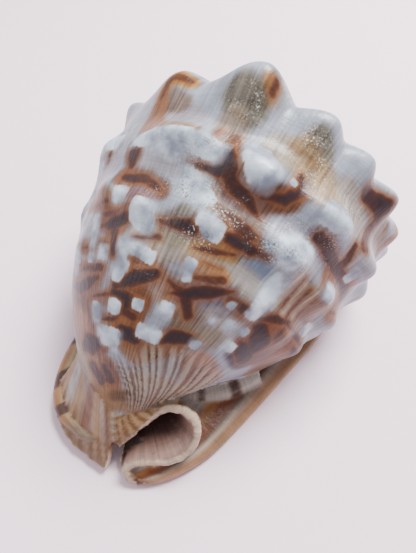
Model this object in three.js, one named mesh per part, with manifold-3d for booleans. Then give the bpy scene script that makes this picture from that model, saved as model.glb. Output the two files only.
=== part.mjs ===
// Helmet shell: one heavy spiral sea shell lying on its mouth, apex away (+Y), siphon towards -Y.
// Millimetres, +Z up. The origin is the bottom centre of the shell's bounding box.
import * as THREE from 'three';
import { ConvexGeometry } from 'three/addons/geometries/ConvexGeometry.js';
import { mergeVertices } from 'three/addons/utils/BufferGeometryUtils.js';
import Module from 'manifold-3d';

const wasm = await Module();
wasm.setup();

// Driving dimensions of the coil
const apexPoint = new THREE.Vector3(0, 66, 42); // where the coil axis leaves the spire
const axisTilt = THREE.MathUtils.degToRad(13); // the siphon end of the axis lies lower
const whorlGrowth = 1.75; // radius gained in one turn
const advanceShare = 0.43; // how much of that growth also runs along the axis
const lipAngle = 235; // degrees round the axis where the outer lip ends
const referenceAngle = 90; // the profile below is measured on the back of the shell
const spireTurns = 4;
const whorlInset = 0.4; // each earlier whorl lies this much deeper, so that no two faces coincide
const seamShift = 8; // and its seam lies this many degrees further round

// Profile of the last whorl from suture to siphon neck: distance from the apex, radius
const profile = new THREE.SplineCurve([
  [16, 29.8], [20, 44], [28, 55.5], [42, 56], [60, 53.3],
  [80, 47], [98, 38], [112, 26.7], [122, 15.5], [130, 8],
].map(([a, r]) => new THREE.Vector2(a, r)));

// The back sits this high off the table once the underside has been flattened
const floorGap = 3;
const flattenFrom = 10;
const wall = 4.2;

// Knobs on the last whorl: angle, place along the profile, height, half width round, half width along
const shoulderKnobs = [
  [194, 0.24, 3, 9, 7], [158, 0.22, 6, 9, 7], [121, 0.21, 4.5, 9, 9], [91, 0.19, 10, 10, 10],
  [67, 0.2, 6, 8, 8], [49, 0.21, 5, 7, 7], [31, 0.22, 5.5, 6, 7], [12, 0.23, 4, 6, 6],
  [-6, 0.22, 3.5, 5, 5], [-23, 0.22, 3, 5, 5], [-42, 0.22, 2.5, 5, 5], [-62, 0.22, 2, 5, 5],
];
const upperKnobs = [
  [186, 0.39, 3, 9, 6], [146, 0.4, 3.5, 9, 6], [101, 0.39, 5, 14, 6], [75, 0.395, 6, 12, 6.5],
  [47, 0.385, 6.5, 10, 6], [19, 0.38, 5.5, 8, 6], [-6, 0.38, 4, 7, 6], [-30, 0.38, 2.5, 7, 6],
];
const middleKnobs = [
  [162, 0.51, 2, 7, 5], [128, 0.5, 2.5, 7, 5], [108, 0.52, 2.5, 7, 5], [83, 0.5, 2, 9, 5],
  [53, 0.485, 5, 10, 6], [28, 0.49, 4, 7, 5], [6, 0.5, 3.5, 6, 5], [-18, 0.5, 2.5, 6, 5],
];
const lowerKnobs = [
  [140, 0.6, 1.5, 6, 5], [108, 0.58, 1.5, 6, 5], [82, 0.58, 1.5, 6, 5], [54, 0.58, 2.5, 7, 5],
  [30, 0.59, 2.5, 6, 5], [10, 0.59, 3, 6, 5],
];
const knobs = [...shoulderKnobs, ...upperKnobs, ...middleKnobs, ...lowerKnobs];
const knobLean = 0.45; // share of a knob's height that points back towards the apex
const rightDrawIn = 5;

const radians = THREE.MathUtils.degToRad;
const growth = (angle) => whorlGrowth ** ((angle - referenceAngle) / 360);

// A point given by distance along the axis, radius and angle seen from the siphon end
function onCoil(along, radius, angle) {
  const [c, s] = [Math.cos(radians(angle)), Math.sin(radians(angle))];
  const [ct, st] = [Math.cos(axisTilt), Math.sin(axisTilt)];
  return new THREE.Vector3(
    apexPoint.x + radius * c,
    apexPoint.y - along * ct - radius * s * st,
    apexPoint.z - along * st + radius * s * ct,
  );
}

// Presses what hangs below a height flat above a floor, without folding the surface
function flatten(point, floor, from) {
  if (point.z < from) {
    point.z = floor + (from - floor) * Math.exp((point.z - from) / (from - floor));
  }
  return point;
}

// Height of the knobs where the last whorl has the given angle and place
function knobHeight(angle, t, radius) {
  let height = 0;
  const along = profile.getPoint(t).x;
  for (const [knobAngle, knobT, rise, halfRound, halfAlong] of knobs) {
    const round = radians(angle - knobAngle) * radius;
    const u = round / (round > 0 ? halfRound * 1.3 : halfRound * 0.75);
    const v = (along - profile.getPoint(knobT).x) / halfAlong;
    height = Math.max(height, rise * Math.exp(-(u * u + v * v)));
  }
  return height;
}

// How far the right side of the whorl draws in above the shield
function drawIn(angle, t) {
  const round = THREE.MathUtils.smoothstep(-angle, -40, 0);
  return rightDrawIn * round * THREE.MathUtils.smoothstep(t, 0.55, 0.85);
}

// The outside of whorl number turn, counted back from the last
function whorlPoint(angle, t, turn) {
  const scale = growth(angle - 360 * turn);
  const base = profile.getPoint(t);
  const knob = knobHeight(angle, t, base.y * growth(angle));
  const rise = (knob - drawIn(angle, t)) * whorlGrowth ** -turn;
  const lean = t < 0.3 ? knobLean : 0;
  return onCoil(
    base.x * scale ** advanceShare - rise * lean,
    base.y * scale + rise - whorlInset * turn,
    angle,
  );
}

// A solid from shared vertices and triangles
function solidFrom(points, triangles) {
  const vertProperties = new Float32Array(points.flatMap((p) => [p.x, p.y, p.z]));
  const triVerts = new Uint32Array(triangles.flat());
  return new wasm.Manifold(new wasm.Mesh({ numProp: 3, vertProperties, triVerts }));
}

// A solid from a closed three.js geometry
function solidOf(geometry) {
  geometry.deleteAttribute('normal');
  geometry.deleteAttribute('uv');
  const merged = mergeVertices(geometry, 1e-4);
  const vertProperties = merged.attributes.position.array;
  return new wasm.Manifold(new wasm.Mesh({
    numProp: 3, vertProperties, triVerts: new Uint32Array(merged.index.array),
  }));
}

// A row of closed rings with the same number of points, skinned and capped at both ends
function loft(rings) {
  const n = rings[0].length;
  const points = rings.flat();
  const triangles = [];
  for (let i = 0; i + 1 < rings.length; i += 1) {
    for (let j = 0; j < n; j += 1) {
      const [a, b] = [i * n + j, i * n + ((j + 1) % n)];
      triangles.push([a, b, b + n], [a, b + n, a + n]);
    }
  }
  for (const [start, flip] of [[0, true], [(rings.length - 1) * n, false]]) {
    const centre = new THREE.Vector3();
    for (let j = 0; j < n; j += 1) centre.addScaledVector(points[start + j], 1 / n);
    points.push(centre);
    const hub = points.length - 1;
    for (let j = 0; j < n; j += 1) {
      const [a, b] = [start + j, start + ((j + 1) % n)];
      triangles.push(flip ? [hub, b, a] : [hub, a, b]);
    }
  }
  return outward(points, triangles);
}

// Turns the triangles over when they enclose a negative volume
function outward(points, triangles) {
  let volume = 0;
  for (const [a, b, c] of triangles) {
    volume += points[a].dot(new THREE.Vector3().crossVectors(points[b], points[c]));
  }
  return solidFrom(points, volume > 0 ? triangles : triangles.map(([a, b, c]) => [a, c, b]));
}

// One whole turn of the shell, filled to the axis, with the step of the growth at the lip
function whorl(turn, stepsRound, stepsAlong) {
  const points = [];
  for (let i = 0; i < stepsRound; i += 1) {
    const angle = lipAngle - 360 + seamShift * turn + (360 * i) / (stepsRound - 1);
    for (let j = 0; j <= stepsAlong; j += 1) {
      points.push(flatten(whorlPoint(angle, j / stepsAlong, turn), floorGap, flattenFrom));
    }
  }
  const row = stepsAlong + 1;
  const triangles = [];
  const shrink = whorlGrowth ** (-turn * advanceShare);
  points.push(flatten(onCoil(15 * shrink, 0, 0), floorGap, flattenFrom));
  points.push(flatten(onCoil(130 * shrink, 0, 0), floorGap, flattenFrom));
  const [back, front] = [points.length - 2, points.length - 1];
  for (let i = 0; i < stepsRound; i += 1) {
    const next = (i + 1) % stepsRound;
    for (let j = 0; j < stepsAlong; j += 1) {
      const [a, b] = [i * row + j, next * row + j];
      triangles.push([a, b, b + 1], [a, b + 1, a + 1]);
    }
    triangles.push([back, next * row, i * row]);
    triangles.push([front, i * row + stepsAlong, next * row + stepsAlong]);
  }
  return outward(points, triangles);
}

// The living space inside the last whorl, open at the lip and closing off under the right side
function chamber() {
  const [firstAngle, lastAngle, steps, samples] = [-30, 240, 20, 8];
  const rings = [];
  for (let i = 0; i <= steps; i += 1) {
    const angle = firstAngle + ((lastAngle - firstAngle) * i) / steps;
    const opening = Math.min(1, 0.15 + (i / steps) * 4);
    const reach = 0.45 + 0.31 * THREE.MathUtils.smoothstep(angle, firstAngle, 70);
    const scale = growth(angle);
    const outer = [];
    const inner = [];
    for (let j = 0; j <= samples; j += 1) {
      const t = 0.16 + (reach * j) / samples;
      const base = profile.getPoint(t);
      const along = base.x * scale ** advanceShare + 3 - 8 * t;
      const pillar = Math.max(9 * scale, Math.min(base.y * scale - 8, 34 * scale - 0.35 * along));
      const roof = Math.max(pillar + 1, base.y * scale - wall - drawIn(angle, t));
      const middle = (roof + pillar) / 2;
      outer.push(onCoil(along, middle + (roof - middle) * opening, angle));
      inner.push(onCoil(along, middle - (middle - pillar) * opening, angle));
    }
    rings.push([...outer, ...inner.reverse()].map((p) => flatten(p, floorGap + 5, flattenFrom + 5)));
  }
  return loft(rings);
}

// Points on the table shared by the lip, the mouth and the shield, from siphon to apex
const mouthLine = [
  [3.8, -80, 1.7], [2.6, -70, 1.7], [-1, -62, 2.2], [-9, -51, 3.6], [-17, -35, 4.2],
  [-23, -15, 4.2], [-26, 5, 4.2], [-25, 25, 4.2], [-20, 42, 3.4],
]; // x, y, half width
const lipEdge = [
  [-8, -74], [-15, -74], [-23.5, -72.5], [-31, -67.5], [-38, -56], [-43, -36],
  [-48, -14], [-51, 6], [-49, 26], [-41, 43], [-28, 54],
];
const shieldEdge = [
  [10, -75.5], [16, -73.5], [23, -66.8], [30, -54], [34.5, -36], [38.8, -11.5],
  [42.5, 14], [41, 36], [31, 51], [14, 58],
];

const flatCurve = (pairs) => spaceCurve(pairs.map(([x, y]) => [x, y, 0]));
const spaceCurve = (triples) => new THREE.CatmullRomCurve3(triples.map((p) => new THREE.Vector3(...p)));

// A rounded band between two lines on the table, with its own thickness along each line
function band(innerCurve, outerCurve, steps, sides, thickness, squareness) {
  const rings = [];
  for (let i = 0; i <= steps; i += 1) {
    const u = i / steps;
    const [inner, outer] = [innerCurve.getPoint(u), outerCurve.getPoint(u)];
    const middle = inner.clone().add(outer).multiplyScalar(0.5);
    const half = outer.clone().sub(inner).multiplyScalar(0.5);
    const [innerThickness, outerThickness] = thickness(u);
    const ring = [];
    for (let j = 0; j < sides; j += 1) {
      const angle = (2 * Math.PI * j) / sides;
      const [c, s] = [Math.cos(angle), Math.sin(angle)];
      const across = Math.sign(c) * Math.abs(c) ** squareness;
      const up = Math.sign(s) * Math.abs(s) ** squareness;
      const point = middle.clone().addScaledVector(half, across);
      const high = THREE.MathUtils.lerp(innerThickness, outerThickness, 0.5 + 0.5 * across);
      point.z = high * (0.5 + 0.5 * up) - 0.5;
      ring.push(point);
    }
    rings.push(ring);
  }
  return loft(rings);
}

// The thick rolled outer lip on the left of the mouth
function lip() {
  const sideOfMouth = mouthLine.slice(2).map(([x, y, half]) => [x - half + 1.5, y]);
  const inner = flatCurve([[-3, -70], ...sideOfMouth, [-14, 52]]);
  return band(inner, flatCurve(lipEdge), 28, 10, (u) => [11.5 - 2.5 * u, 11.5 - 2.5 * u], 0.8);
}

// The glazed shield on the right of the mouth, with its free edge standing clear of the whorl
function shield() {
  const sideOfMouth = mouthLine.slice(1).map(([x, y, half]) => [x + half - 1.5, y]);
  const inner = flatCurve([[8.5, -75], ...sideOfMouth, [-12, 54]]);
  const columella = (u) => 5 + 9 * THREE.MathUtils.smoothstep(u, 0.08, 0.28);
  return band(inner, flatCurve(shieldEdge), 28, 12, (u) => [columella(u), 4.6 + 3 * u], 0.6);
}

// The siphon canal is one folded sheet: its free rim, and the line where it leaves the neck
const canalRim = [
  [-30, -64, 5], [-22, -70.5, 5], [-14, -73.5, 4], [-6, -75, 3], [-0.4, -75.2, 3],
  [1, -72.7, 6], [3.4, -68.8, 10.5], [6.5, -62.9, 15], [9.7, -56.8, 19], [13.3, -52.1, 22],
  [18.2, -49.7, 22], [23, -49.9, 20], [25.8, -52.9, 17], [25.5, -57.6, 13], [22.2, -62.7, 10.5],
  [16, -67.1, 9], [10.7, -70.5, 8], [9, -73.8, 6], [11.4, -74.9, 3], [16.2, -72.7, 2.2],
];
const canalRoot = [
  [-29, -45, 18], [-25, -49, 20], [-18, -54, 23], [-11, -58, 24.5], [-6, -60, 23.5],
  [-3, -61, 22], [-0.5, -61.3, 21], [2, -59.5, 20.5], [4.5, -55, 20], [6.5, -51, 18],
  [8, -47, 15], [9, -46, 12], [9, -46.5, 9], [7, -48, 7.5], [5, -51, 6],
  [4, -55, 5.5], [4, -59, 5], [5, -62, 4], [8, -60, 3], [12, -54, 2.2],
];
const canalWall = 3.4;

// Built block by block, so the sheet stays clean where it folds back on itself
function canal() {
  const [rim, root] = [spaceCurve(canalRim), spaceCurve(canalRoot)];
  const steps = 50;
  const rings = [];
  for (let i = 0; i <= steps; i += 1) {
    const u = i / steps;
    const [outer, inner] = [rim.getPoint(u), root.getPoint(u)];
    const depth = inner.clone().sub(outer);
    const normal = new THREE.Vector3().crossVectors(rim.getTangent(u), depth).normalize();
    const outline = [[-0.06, 0], [0, 0.75], [0.12, 1], [1, 1], [1, -1], [0.12, -1], [0, -0.75]];
    rings.push(outline.map(([deep, side]) => outer.clone()
      .addScaledVector(depth, deep)
      .addScaledVector(normal, (side * canalWall) / 2)));
  }
  const blocks = rings.slice(1).map((ring, i) => solidOf(new ConvexGeometry([...rings[i], ...ring])));
  return blocks.reduce((sheet, block) => sheet.add(block));
}

// A round rod along a curve, with its own radius at each end
function rod(points, radii, steps = 14, sides = 10) {
  const curve = spaceCurve(points);
  const rings = [];
  for (let i = 0; i <= steps; i += 1) {
    const u = i / steps;
    const tangent = curve.getTangent(u);
    const side = new THREE.Vector3().crossVectors(tangent, new THREE.Vector3(0, 0, 1)).normalize();
    const up = new THREE.Vector3().crossVectors(side, tangent);
    const radius = THREE.MathUtils.lerp(radii[0], radii[1], u);
    const centre = curve.getPoint(u);
    rings.push(Array.from({ length: sides }, (_, j) => {
      const angle = (2 * Math.PI * j) / sides;
      return centre.clone()
        .addScaledVector(side, radius * Math.cos(angle))
        .addScaledVector(up, radius * Math.sin(angle));
    }));
  }
  return loft(rings);
}

// The old lip that shows in the gap between the whorl and the shield
const oldLip = () => rod([[4, -42, 9], [14, -36.5, 8], [21.5, -30, 7.5], [28, -18, 7]], [4, 5.5]);

// The mouth is a long slot with teeth on both sides, narrowing to a slit at the siphon
function mouth() {
  const line = spaceCurve(mouthLine);
  const steps = 60;
  const rings = [];
  for (let i = 0; i <= steps; i += 1) {
    const { x, y, z: half } = line.getPoint(i / steps);
    const tooth = half > 2.5 ? (i % 2) * 1.1 : 0;
    rings.push([
      [-half + tooth, -3], [half - tooth * 0.6, -3], [half - tooth * 0.6, 5], [half, 13],
      [-half, 13], [-half + tooth, 5],
    ].map(([across, up]) => new THREE.Vector3(x + across, y, up)));
  }
  return loft(rings);
}

// The bore of the siphon canal, from the folded rim into the mouth
const canalBore = () => rod(
  [[19, -68, 26], [14, -59, 14], [7, -56, 10], [-2, -51, 9.5], [-10, -40, 11]], [7, 5],
);

function shellSolid() {
  let solid = whorl(0, 68, 25);
  for (let turn = 1; turn < spireTurns; turn += 1) {
    solid = solid.add(whorl(turn, 33, 10));
  }
  solid = solid.subtract(chamber());
  solid = solid.add(lip()).add(shield()).add(oldLip());
  solid = solid.subtract(canalBore());
  solid = solid.add(canal());
  solid = solid.subtract(mouth());
  return solid;
}

// Cuts the underside on the table plane, so the shell rests on flats of its lip and shield
const restOnTable = (solid) => solid.subtract(
  solidOf(new THREE.BoxGeometry(400, 400, 40).translate(0, 0, -20)),
);

function meshFrom(solid, name, material) {
  const { vertProperties, triVerts } = solid.getMesh();
  const geometry = new THREE.BufferGeometry();
  geometry.setAttribute('position', new THREE.BufferAttribute(vertProperties, 3));
  geometry.setIndex(new THREE.BufferAttribute(triVerts, 1));
  geometry.computeVertexNormals();
  const mesh = new THREE.Mesh(geometry, material);
  mesh.name = name;
  return mesh;
}

const shellMaterial = new THREE.MeshStandardMaterial({ color: 0xb9a79a, roughness: 0.45, metalness: 0 });
const pieces = restOnTable(shellSolid()).simplify(0.2).decompose();
const whole = pieces.sort((a, b) => b.volume() - a.volume())[0];
const { min, max } = whole.boundingBox();
const shell = meshFrom(whole, 'helmet_shell', shellMaterial);
shell.position.set(-(min[0] + max[0]) / 2, -(min[1] + max[1]) / 2, -min[2]);

const group = new THREE.Group();
group.add(shell);
export default group;
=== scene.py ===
import math

import bpy
import numpy as np
from mathutils import Matrix, Vector
from mathutils.bvhtree import BVHTree
from mathutils.interpolate import poly_3d_calc


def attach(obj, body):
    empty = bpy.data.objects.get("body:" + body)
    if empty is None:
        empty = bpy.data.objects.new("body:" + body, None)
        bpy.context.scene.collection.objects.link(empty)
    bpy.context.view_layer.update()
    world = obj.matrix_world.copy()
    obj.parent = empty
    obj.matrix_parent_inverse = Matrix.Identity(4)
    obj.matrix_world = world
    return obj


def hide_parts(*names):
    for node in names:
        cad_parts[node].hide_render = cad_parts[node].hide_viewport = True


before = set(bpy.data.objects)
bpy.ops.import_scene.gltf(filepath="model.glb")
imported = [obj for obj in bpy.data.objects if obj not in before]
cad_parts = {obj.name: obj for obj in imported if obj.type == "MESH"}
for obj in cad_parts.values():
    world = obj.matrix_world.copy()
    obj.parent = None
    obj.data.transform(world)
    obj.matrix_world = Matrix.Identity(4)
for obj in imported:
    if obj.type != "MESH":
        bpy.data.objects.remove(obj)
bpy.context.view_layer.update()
bpy.ops.object.select_all(action="DESELECT")


# Whorls
# The heavy spiral body of the shell: porcelain-like aragonite that grew as one
# tube round a leaning axis, each turn 1.75 times as wide as the one before.
# A ball is drawn out along the growth line, one for the last whorl and three
# for the spire, all in millimetres from the place where the axis leaves the apex.

coil_top = np.array((7.593, 74.215, 42.0))
axis_tilt = math.radians(13)
turn_growth, advance_share = 1.75, 0.43
lip_angle, reference_angle = 235.0, 90.0
whorl_profile = [
    (16, 29.8), (20, 44), (28, 55.5), (42, 56), (60, 53.3),
    (80, 47), (98, 38), (112, 26.7), (122, 15.5), (130, 8),
]  # distance from the apex, radius
knobs = [  # angle, place along the profile, height, half width round, half width along
    (194, .24, 3, 9, 7), (158, .22, 6, 9, 7), (121, .21, 4.5, 9, 9), (91, .19, 10, 10, 10),
    (67, .2, 6, 8, 8), (49, .21, 5, 7, 7), (31, .22, 5.5, 6, 7), (12, .23, 4, 6, 6),
    (-6, .22, 3.5, 5, 5), (-23, .22, 3, 5, 5), (-42, .22, 2.5, 5, 5), (-62, .22, 2, 5, 5),
    (186, .39, 3, 9, 6), (146, .4, 3.5, 9, 6), (101, .39, 5, 14, 6), (75, .395, 6, 12, 6.5),
    (47, .385, 6.5, 10, 6), (19, .38, 5.5, 8, 6), (-6, .38, 4, 7, 6), (-30, .38, 2.5, 7, 6),
    (162, .51, 2, 7, 5), (128, .5, 2.5, 7, 5), (108, .52, 2.5, 7, 5), (83, .5, 2, 9, 5),
    (53, .485, 5, 10, 6), (28, .49, 4, 7, 5), (6, .5, 3.5, 6, 5), (-18, .5, 2.5, 6, 5),
    (140, .6, 1.5, 6, 5), (108, .58, 1.5, 6, 5), (82, .58, 1.5, 6, 5), (54, .58, 2.5, 7, 5),
    (30, .59, 2.5, 6, 5), (10, .59, 3, 6, 5),
]
floor_gap, flatten_from, wall = 3.0, 10.0, 4.2
sources = []  # every surface the shell is made of, kept to tell later what a point belongs to


def spline(points, u, pull=0.5):
    """Places at shares u of a smooth line through points; pull 0 gives every span the same weight."""
    p = np.asarray(points, float)
    first, last = (2 * p[0] - p[1], 2 * p[-1] - p[-2]) if pull else (p[0], p[-1])
    q = np.vstack([first, p, last])
    s = np.clip(np.asarray(u, float), 0, 1) * (len(p) - 1)
    i = np.minimum(s.astype(int), len(p) - 2)
    w = (s - i)[..., None]
    a, b, c, d = (q[i + k] for k in range(4))
    da, db, dc = (np.linalg.norm(f - e, axis=-1, keepdims=True) ** pull for e, f in ((a, b), (b, c), (c, d)))
    start = ((b - a) / da - (c - a) / (da + db) + (c - b) / db) * db
    stop = ((c - b) / db - (d - b) / (db + dc) + (d - c) / dc) * db
    return b + start * w + (3 * (c - b) - 2 * start - stop) * w**2 + (2 * (b - c) + start + stop) * w**3


def smoothstep(x, low, high):
    s = np.clip((x - low) / (high - low), 0, 1)
    return s * s * (3 - 2 * s)


def growth(angle):
    return turn_growth ** ((angle - reference_angle) / 360)


def on_coil(along, radius, angle):
    a = np.radians(angle)
    c, s, ct, st = np.cos(a), np.sin(a), math.cos(axis_tilt), math.sin(axis_tilt)
    return np.stack([
        coil_top[0] + radius * c,
        coil_top[1] - along * ct - radius * s * st,
        coil_top[2] - along * st + radius * s * ct,
    ], -1)


def pressed_flat(points, floor, start):
    """What hangs below start is pressed towards floor, as the underside of a helmet shell is."""
    z = points[..., 2]
    low = floor + (start - floor) * np.exp(np.minimum(0, (z - start) / (start - floor)))
    points[..., 2] = np.where(z < start, low, z)
    return points


def knob_height(angle, t, radius):
    along = spline(whorl_profile, t, 0)[..., 0]
    height = np.zeros(np.shape(angle))
    for knob_angle, knob_t, rise, half_round, half_along in knobs:
        around = np.radians(angle - knob_angle) * radius
        u = around / np.where(around > 0, half_round * 1.3, half_round * 0.75)
        v = (along - spline(whorl_profile, knob_t, 0)[0]) / half_along
        height = np.maximum(height, rise * np.exp(-(u * u + v * v)))
    return height


def draw_in(angle, t):
    return 5 * smoothstep(-angle, -40, 0) * smoothstep(t, 0.55, 0.85)


def drawn_ball(name, rings, around, place, ends=None):
    """A ball whose rings of vertices are set by place(ring share, turn share), and its poles by ends."""
    bpy.ops.mesh.primitive_uv_sphere_add(segments=around, ring_count=rings + 1, radius=1)
    ball = bpy.context.object
    ball.name = name
    mesh = ball.data
    co = np.empty(len(mesh.vertices) * 3, np.float32)
    mesh.vertices.foreach_get("co", co)
    co = co.reshape(-1, 3).astype(float)
    ring = np.rint(np.arccos(np.clip(co[:, 2], -1, 1)) / math.pi * (rings + 1)).astype(int)
    turn = np.rint(np.arctan2(co[:, 1], co[:, 0]) / (2 * math.pi) * around).astype(int) % around
    i, j = np.clip(ring - 1, 0, rings - 1), turn
    new, uv = place(i / (rings - 1), j / around)
    for pole, end in ((0, 0), (rings + 1, 1)):
        at = ring == pole
        rim = (ring == (1 if end == 0 else rings))
        new[at] = ends[end] if ends is not None else new[rim].mean(0)
        uv[at] = uv[rim].mean(0)
    mesh.vertices.foreach_set("co", (new / 1000).astype(np.float32).ravel())
    mesh.update()
    bpy.ops.object.mode_set(mode="EDIT")
    bpy.ops.mesh.select_all(action="SELECT")
    bpy.ops.mesh.normals_make_consistent(inside=False)
    bpy.ops.object.mode_set(mode="OBJECT")
    sources.append({
        "name": name, "points": new / 1000, "uv": uv,
        "faces": [tuple(f.vertices) for f in mesh.polygons],
    })
    return ball


def whorl(turn, around, rings):
    """One whole turn, filled to the axis. u is the angle in degrees and v the place along the profile."""
    def place(t, share):
        j = np.rint(share * around)
        angle = lip_angle - 360 + 8 * turn + 360 * j / (around - 1)
        scale = growth(angle - 360 * turn)
        base = spline(whorl_profile, t, 0)
        knob = knob_height(angle, t, base[..., 1] * growth(angle))
        rise = (knob - draw_in(angle, t)) * turn_growth ** -turn
        lean = np.where(t < 0.3, 0.45, 0)
        along = base[..., 0] * scale ** advance_share - rise * lean
        points = on_coil(along, base[..., 1] * scale + rise - 0.4 * turn, angle)
        return pressed_flat(points, floor_gap, flatten_from), np.stack([angle, t], -1)

    shrink = turn_growth ** (-turn * advance_share)
    ends = [pressed_flat(on_coil(d * shrink, 0.0, 0.0), floor_gap, flatten_from) for d in (15, 130)]
    return drawn_ball(f"whorl_{turn}", rings, around, place, ends)


whorls = [whorl(0, 360, 150), whorl(1, 160, 60), whorl(2, 110, 40), whorl(3, 80, 30)]


def cut(piece, cutter, operation="DIFFERENCE"):
    """Takes one closed shape from another, or adds it, and leaves the other unchanged."""
    step = piece.modifiers.new("cut", "BOOLEAN")
    step.operation, step.object, step.solver = operation, cutter, "MANIFOLD"
    bpy.context.view_layer.objects.active = piece
    bpy.ops.object.modifier_apply(modifier="cut")


body = whorls[0]
for earlier in whorls[1:]:
    cut(body, earlier, "UNION")


# Chamber
# The room the animal lived in: a smooth, narrow passage that winds up inside the
# last whorl under a wall about 4 mm thick. It is cut out of the body.

chamber_start, chamber_turn = -30, 270  # degrees round the coil


def chamber_place(share, turn):
    angle = chamber_start + chamber_turn * share
    opening = np.minimum(1, 0.15 + 4 * share)
    reach = 0.45 + 0.31 * smoothstep(angle, -30, 70)
    side = 1 - np.abs(2 * turn - 1)  # 0 at the suture side, 1 at the siphon side
    t = 0.16 + reach * side
    scale = growth(angle)
    base = spline(whorl_profile, t, 0)
    along = base[..., 0] * scale**advance_share + 3 - 8 * t
    pillar = np.maximum(9 * scale, np.minimum(base[..., 1] * scale - 8, 34 * scale - 0.35 * along))
    roof = np.maximum(pillar + 1, base[..., 1] * scale - wall - draw_in(angle, t))
    middle = (roof + pillar) / 2
    radius = np.where(turn < 0.5, middle + (roof - middle) * opening, middle - (middle - pillar) * opening)
    passage = pressed_flat(on_coil(along, radius, angle), floor_gap + 5, flatten_from + 5)
    return passage, np.stack([angle, t], -1)


chamber = drawn_ball("chamber", 110, 48, chamber_place)
cut(body, chamber)


# Outer lip
# The thick rolled rim on the left of the mouth, built up of glazed enamel layer
# on layer. It lies on the table; its teeth face the mouth.

table_shift = np.array((7.593, 8.215, 0.0))
mouth_line = [
    (3.8, -80, 1.7), (2.6, -70, 1.7), (-1, -62, 2.2), (-9, -51, 3.6), (-17, -35, 4.2),
    (-23, -15, 4.2), (-26, 5, 4.2), (-25, 25, 4.2), (-20, 42, 3.4),
]  # x, y, half width, from the siphon to the apex end
lip_edge = [
    (-8, -74), (-15, -74), (-23.5, -72.5), (-31, -67.5), (-38, -56), (-43, -36),
    (-48, -14), (-51, 6), (-49, 26), (-41, 43), (-28, 54),
]


def rolled_band(name, inner, outer, thickness, squareness, rings=120, around=40):
    """A rounded band between two lines on the table. u runs along it, v round it."""
    inner, outer = [(x, y, 0) for x, y in inner], [(x, y, 0) for x, y in outer]

    def place(u, turn):
        a, b = spline(inner, u), spline(outer, u)
        c, s = np.cos(2 * math.pi * turn), np.sin(2 * math.pi * turn)
        across = np.sign(c) * np.abs(c) ** squareness
        up = np.sign(s) * np.abs(s) ** squareness
        points = (a + b) / 2 + (b - a) / 2 * across[..., None]
        inner_high, outer_high = thickness(u)
        high = inner_high + (outer_high - inner_high) * (0.5 + 0.5 * across)
        points[..., 2] = high * (0.5 + 0.5 * up) - 0.5
        return points + table_shift, np.stack([u, 0.5 + 0.5 * across], -1)

    return drawn_ball(name, rings, around, place)


lip = rolled_band(
    "lip", [(-3, -70)] + [(x - half + 1.5, y) for x, y, half in mouth_line[2:]] + [(-14, 52)],
    lip_edge, lambda u: (11.5 - 2.5 * u, 11.5 - 2.5 * u), 0.8)


# Parietal shield
# The glazed plate on the right of the mouth, spread over the earlier whorl, with
# a free rolled edge that stands clear of it. Cream enamel with brown bars.

shield_edge = [
    (10, -75.5), (16, -73.5), (23, -66.8), (30, -54), (34.5, -36), (38.8, -11.5),
    (42.5, 14), (41, 36), (31, 51), (14, 58),
]
shield = rolled_band(
    "shield", [(8.5, -75)] + [(x + half - 1.5, y) for x, y, half in mouth_line[1:]] + [(-12, 54)],
    shield_edge, lambda u: (5 + 9 * smoothstep(u, 0.08, 0.28), 4.6 + 3 * u), 0.6)


# Old lip
# A lip from an earlier resting stage that shows in the gap between the whorl and
# the shield: a white enamel roll crossed by dark bars.

def rod(name, points, radii, rings=60, around=24):
    """A round rod along a line, with its own radius at each end."""
    def place(u, turn):
        middle = spline(points, u)
        tangent = spline(points, np.minimum(u + 0.01, 1)) - spline(points, np.maximum(u - 0.01, 0))
        tangent /= np.linalg.norm(tangent, axis=-1, keepdims=True)
        side = np.cross(tangent, (0, 0, 1.0))
        side /= np.linalg.norm(side, axis=-1, keepdims=True)
        up = np.cross(side, tangent)
        radius = (radii[0] + (radii[1] - radii[0]) * u)[..., None]
        c, s = np.cos(2 * math.pi * turn)[..., None], np.sin(2 * math.pi * turn)[..., None]
        return middle + side * radius * c + up * radius * s + table_shift, np.stack([u, turn], -1)

    return drawn_ball(name, rings, around, place)


old_lip = rod("old_lip", [(4, -42, 9), (14, -36.5, 8), (21.5, -30, 7.5), (28, -18, 7)], (4, 5.5))


# Siphon canal
# The short spout at the front, one folded sheet about 3.4 mm thick. It is chalky
# outside, worn at its rim and pinkish inside, with painted shade deep in the fold.

canal_rim = [
    (-31.3, -65.4, 4.5), (-23, -72.2, 4.3), (-14.5, -75.2, 3.2), (-4.6, -75.8, 2.6), (2.6, -75.2, 2.8),
    (3.5, -72.6, 6), (3.4, -68.8, 10.5), (6.5, -62.9, 15), (9.7, -56.8, 19), (13.3, -52.1, 22),
    (18.2, -49.7, 22), (23, -49.9, 20), (25.8, -52.9, 17), (25.5, -57.6, 13), (22.2, -62.7, 10.5),
    (16, -67.1, 9), (10.7, -70.5, 8), (9, -73.8, 6), (11.4, -74.9, 3), (16.2, -72.7, 2.2),
]
canal_root = [
    (-29, -45, 18), (-25, -49, 20), (-18, -54, 23), (-11, -58, 24.5), (-6, -60, 23.5),
    (-3, -61, 22), (-0.5, -61.3, 21), (2, -59.5, 20.5), (4.5, -55, 20), (6.5, -51, 18),
    (8, -47, 15), (9, -46, 12), (9, -46.5, 9), (7, -48, 7.5), (5, -51, 6),
    (4, -55, 5.5), (4, -59, 5), (5, -62, 4), (8, -60, 3), (12, -54, 2.2),
]
canal_wall = 3.4


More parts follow.
